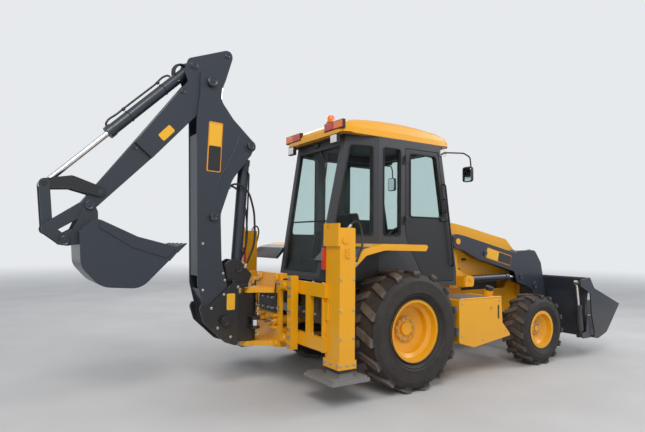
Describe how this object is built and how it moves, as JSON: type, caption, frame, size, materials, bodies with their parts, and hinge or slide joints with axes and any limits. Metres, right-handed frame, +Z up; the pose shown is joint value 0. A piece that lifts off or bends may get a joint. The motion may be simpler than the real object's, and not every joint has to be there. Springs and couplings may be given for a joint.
{
  "type": "backhoe loader",
  "caption": "Wheeled backhoe loader: hollow glazed cab, side-shift digging arm with bucket and stabilizers behind, lifting arms with a two-part shovel in front.",
  "frame": {"origin": "on the ground plane under the tyres, at the middle of the bounding box at rest", "axes": "+X forward, +Y to the left, +Z up"},
  "size_m": [7.293, 2.48, 3.505],
  "materials": {
    "yellow_paint": "gloss",
    "slate_paint": "gloss",
    "black_paint": "satin",
    "post_paint": "satin",
    "rod_chrome": "polished",
    "tyre_rubber": "matt",
    "cab_window": "polished",
    "seat_vinyl": "matt",
    "engine_iron": "cast",
    "lamp_lens": "polished",
    "trim_plastic": "matt"
  },
  "bodies": {
    "chassis": {"main_frame": "yellow_paint", "rear_frame": "yellow_paint", "axles": "yellow_paint", "engine": "engine_iron", "cab_frame": "post_paint", "cab_glass": "cab_window", "roof": "yellow_paint", "fenders": "yellow_paint", "side_tanks": "yellow_paint", "seat": "seat_vinyl", "controls": "trim_plastic", "lamps": "lamp_lens", "fittings": "trim_plastic"},
    "hood": {"hood": "yellow_paint", "grille": "black_paint"},
    "rear_wheel_left": {"rear_tyre_left": "tyre_rubber", "rear_rim_left": "yellow_paint"},
    "front_wheel_left": {"front_tyre_left": "tyre_rubber", "front_rim_left": "yellow_paint"},
    "knuckle_left": {"knuckle_left": "yellow_paint"},
    "door_left": {"door_left": "post_paint", "door_glass_left": "cab_window"},
    "stabilizer_left": {"stabilizer_left": "yellow_paint"},
    "swing_rod_left": {"swing_rod_left": "rod_chrome"},
    "rear_wheel_right": {"rear_tyre_right": "tyre_rubber", "rear_rim_right": "yellow_paint"},
    "front_wheel_right": {"front_tyre_right": "tyre_rubber", "front_rim_right": "yellow_paint"},
    "knuckle_right": {"knuckle_right": "yellow_paint"},
    "door_right": {"door_right": "post_paint", "door_glass_right": "cab_window"},
    "stabilizer_right": {"stabilizer_right": "yellow_paint"},
    "swing_rod_right": {"swing_rod_right": "rod_chrome"},
    "loader_arms": {"loader_arms": "slate_paint"},
    "lift_barrels": {"lift_barrels": "slate_paint"},
    "lift_rods": {"lift_rods": "rod_chrome"},
    "tilt_levers": {"tilt_levers": "slate_paint"},
    "tilt_links": {"tilt_links": "slate_paint"},
    "tilt_barrels": {"tilt_barrels": "slate_paint"},
    "tilt_rods": {"tilt_rods": "rod_chrome"},
    "shovel": {"shovel": "slate_paint"},
    "shovel_clam": {"shovel_clam": "slate_paint"},
    "clam_barrels": {"clam_barrels": "slate_paint"},
    "clam_rods": {"clam_rods": "rod_chrome"},
    "carriage": {"carriage": "yellow_paint"},
    "kingpost": {"kingpost": "slate_paint"},
    "boom": {"boom": "slate_paint"},
    "boom_barrel": {"boom_barrel": "slate_paint"},
    "boom_rod": {"boom_rod": "rod_chrome"},
    "dipper": {"dipper": "slate_paint"},
    "dipper_barrel": {"dipper_barrel": "slate_paint"},
    "dipper_rod": {"dipper_rod": "rod_chrome"},
    "bucket_barrel": {"bucket_barrel": "slate_paint"},
    "bucket_rod": {"bucket_rod": "rod_chrome"},
    "guide_levers": {"guide_levers": "slate_paint"},
    "bucket_link": {"bucket_link": "slate_paint"},
    "hoe_bucket": {"hoe_bucket": "slate_paint"}
  },
  "joints": [
    {"name": "hood_hinge", "type": "hinge", "parent": "chassis", "child": "hood", "pos_m": [0.9105, 0, 1.798], "axis": [0, -1, 0], "range_deg": [0, 55]},
    {"name": "rear_wheel_left_spin", "type": "hinge", "parent": "chassis", "child": "rear_wheel_left", "pos_m": [-0.2635, 0.91, 0.62], "axis": [0, 1, 0], "continuous": true},
    {"name": "rear_wheel_right_spin", "type": "hinge", "parent": "chassis", "child": "rear_wheel_right", "pos_m": [-0.2635, -0.91, 0.62], "axis": [0, 1, 0], "continuous": true},
    {"name": "steering_left", "type": "hinge", "parent": "chassis", "child": "knuckle_left", "pos_m": [1.9585, 0.69, 0.44], "axis": [0, 0, 1], "range_deg": [-35, 35]},
    {"name": "front_wheel_left_spin", "type": "hinge", "parent": "knuckle_left", "child": "front_wheel_left", "pos_m": [1.9585, 0.925, 0.44], "axis": [0, 1, 0], "continuous": true},
    {"name": "steering_right", "type": "hinge", "parent": "chassis", "child": "knuckle_right", "pos_m": [1.9585, -0.69, 0.44], "axis": [0, 0, 1], "range_deg": [-35.02, 35.02]},
    {"name": "front_wheel_right_spin", "type": "hinge", "parent": "knuckle_right", "child": "front_wheel_right", "pos_m": [1.9585, -0.925, 0.44], "axis": [0, 1, 0], "continuous": true},
    {"name": "door_left_hinge", "type": "hinge", "parent": "chassis", "child": "door_left", "pos_m": [0.0195, 0.643, 1.8], "axis": [0, 0, 1], "range_deg": [0, 70]},
    {"name": "door_right_hinge", "type": "hinge", "parent": "chassis", "child": "door_right", "pos_m": [0.0195, -0.643, 1.8], "axis": [0, 0, -1], "range_deg": [0, 70]},
    {"name": "arm_lift", "type": "hinge", "parent": "chassis", "child": "loader_arms", "pos_m": [0.9265, 0, 1.55], "axis": [0, -1, 0], "range_deg": [-5, 80]},
    {"name": "lift_barrel_pivot", "type": "hinge", "parent": "chassis", "child": "lift_barrels", "pos_m": [1.1265, 0, 1.07], "axis": [0, -1, 0], "range_deg": [-4.74, 75.47]},
    {"name": "lift_rod_stroke", "type": "slide", "parent": "lift_barrels", "child": "lift_rods", "axis": [1, 0, 0.0095], "range_m": [-0.0423, 0.6687]},
    {"name": "shovel_tilt", "type": "hinge", "parent": "loader_arms", "child": "shovel", "pos_m": [2.7465, 0, 0.37], "axis": [0, 1, 0], "range_deg": [0, 85]},
    {"name": "lever_swing", "type": "hinge", "parent": "loader_arms", "child": "tilt_levers", "pos_m": [2.4865, 0, 0.95], "axis": [0, 1, 0], "range_deg": [-0.02, 85.02]},
    {"name": "link_swing", "type": "hinge", "parent": "tilt_levers", "child": "tilt_links", "pos_m": [2.5365, 0, 1.4], "axis": [0, 1, 0], "range_deg": [-85.02, 0.02]},
    {"name": "tilt_barrel_pivot", "type": "hinge", "parent": "loader_arms", "child": "tilt_barrels", "pos_m": [1.4365, 0, 1.4], "axis": [0, -1, 0], "range_deg": [-15.69, 0.02]},
    {"name": "tilt_rod_stroke", "type": "slide", "parent": "tilt_barrels", "child": "tilt_rods", "axis": [1, 0, 0], "range_m": [-0.0005, 0.5164]},
    {"name": "clam_open", "type": "hinge", "parent": "shovel", "child": "shovel_clam", "pos_m": [2.9465, 0, 0.93], "axis": [0, -1, 0], "range_deg": [0, 60]},
    {"name": "clam_barrel_pivot", "type": "hinge", "parent": "shovel", "child": "clam_barrels", "pos_m": [2.7765, 0, 0.3], "axis": [0, -1, 0], "range_deg": [-0.24, 0.02]},
    {"name": "clam_rod_stroke", "type": "slide", "parent": "clam_barrels", "child": "clam_rods", "axis": [-0.1258, 0, 0.9921], "range_m": [-0.2725, 0.0005]},
    {"name": "side_shift", "type": "slide", "parent": "chassis", "child": "carriage", "axis": [0, 1, 0], "range_m": [-0.4, 0.4]},
    {"name": "swing", "type": "hinge", "parent": "carriage", "child": "kingpost", "pos_m": [-1.6285, 0, 0.7], "axis": [0, 0, 1], "range_deg": [-90, 90]},
    {"name": "swing_rod_left_stroke", "type": "slide", "parent": "carriage", "child": "swing_rod_left", "axis": [1, 0, 0], "range_m": [-0.1505, 0.1505]},
    {"name": "swing_rod_right_stroke", "type": "slide", "parent": "carriage", "child": "swing_rod_right", "axis": [1, 0, 0], "range_m": [-0.1505, 0.1505]},
    {"name": "boom_lower", "type": "hinge", "parent": "kingpost", "child": "boom", "pos_m": [-1.9785, 0, 0.73], "axis": [0, -1, 0], "range_deg": [0, 115]},
    {"name": "boom_barrel_pivot", "type": "hinge", "parent": "kingpost", "child": "boom_barrel", "pos_m": [-1.7935, 0, 1.24], "axis": [0, -1, 0], "range_deg": [-0.02, 123.64]},
    {"name": "boom_rod_stroke", "type": "slide", "parent": "boom_barrel", "child": "boom_rod", "axis": [0.0635, 0, 0.998], "range_m": [-0.0005, 0.8358]},
    {"name": "dipper_out", "type": "hinge", "parent": "boom", "child": "dipper", "pos_m": [-2.1475, 0, 3.137], "axis": [0, 1, 0], "range_deg": [0, 112]},
    {"name": "dipper_barrel_pivot", "type": "hinge", "parent": "boom", "child": "dipper_barrel", "pos_m": [-2.1035, 0, 1.77], "axis": [0, -1, 0], "range_deg": [-9.88, 0.02]},
    {"name": "dipper_rod_stroke", "type": "slide", "parent": "dipper_barrel", "child": "dipper_rod", "axis": [0.0766, 0, 0.9971], "range_m": [-0.5577, 0.0005]},
    {"name": "bucket_open", "type": "hinge", "parent": "dipper", "child": "hoe_bucket", "pos_m": [-3.2555, 0, 1.83], "axis": [0, 1, 0], "range_deg": [0, 105]},
    {"name": "guide_swing", "type": "hinge", "parent": "dipper", "child": "guide_levers", "pos_m": [-3.1565, 0, 1.962], "axis": [0, 1, 0], "range_deg": [-0.02, 93.55]},
    {"name": "bucket_link_swing", "type": "hinge", "parent": "guide_levers", "child": "bucket_link", "pos_m": [-3.6045, 0, 2.009], "axis": [0, 1, 0], "range_deg": [-33.23, 0.02]},
    {"name": "bucket_barrel_pivot", "type": "hinge", "parent": "dipper", "child": "bucket_barrel", "pos_m": [-2.3245, 0, 3.285], "axis": [0, -1, 0], "range_deg": [-0.45, 0.02]},
    {"name": "bucket_rod_stroke", "type": "slide", "parent": "bucket_barrel", "child": "bucket_rod", "axis": [-0.7082, 0, -0.706], "range_m": [-0.6582, 0.0005]},
    {"name": "stabilizer_left_lower", "type": "slide", "parent": "chassis", "child": "stabilizer_left", "axis": [0, 0, -1], "range_m": [0, 0.55]},
    {"name": "stabilizer_right_lower", "type": "slide", "parent": "chassis", "child": "stabilizer_right", "axis": [0, 0, -1], "range_m": [0, 0.55]}
  ],
  "couplings": [
    {"joint": "steering_right", "follows": "steering_left", "ratio": 1},
    {"joint": "lift_barrel_pivot", "follows": "arm_lift", "ratio": 0.94317},
    {"joint": "lift_rod_stroke", "follows": "arm_lift", "m_per_rad": 0.47858},
    {"joint": "lever_swing", "follows": "shovel_tilt", "ratio": 1},
    {"joint": "link_swing", "follows": "shovel_tilt", "ratio": -1},
    {"joint": "tilt_barrel_pivot", "follows": "shovel_tilt", "ratio": -0.18431},
    {"joint": "tilt_rod_stroke", "follows": "shovel_tilt", "m_per_rad": 0.34776},
    {"joint": "clam_barrel_pivot", "follows": "clam_open", "ratio": -0.003734},
    {"joint": "clam_rod_stroke", "follows": "clam_open", "m_per_rad": -0.25974},
    {"joint": "swing_rod_left_stroke", "follows": "swing", "m_per_rad": -0.095499},
    {"joint": "swing_rod_right_stroke", "follows": "swing", "m_per_rad": 0.095499},
    {"joint": "boom_barrel_pivot", "follows": "boom_lower", "ratio": 1.075},
    {"joint": "boom_rod_stroke", "follows": "boom_lower", "m_per_rad": 0.41616},
    {"joint": "dipper_barrel_pivot", "follows": "dipper_out", "ratio": -0.088},
    {"joint": "dipper_rod_stroke", "follows": "dipper_out", "m_per_rad": -0.28503},
    {"joint": "guide_swing", "follows": "bucket_open", "ratio": 0.89078},
    {"joint": "bucket_link_swing", "follows": "bucket_open", "ratio": -0.31632},
    {"joint": "bucket_barrel_pivot", "follows": "bucket_open", "ratio": -0.004113},
    {"joint": "bucket_rod_stroke", "follows": "bucket_open", "m_per_rad": -0.3589}
  ]
}
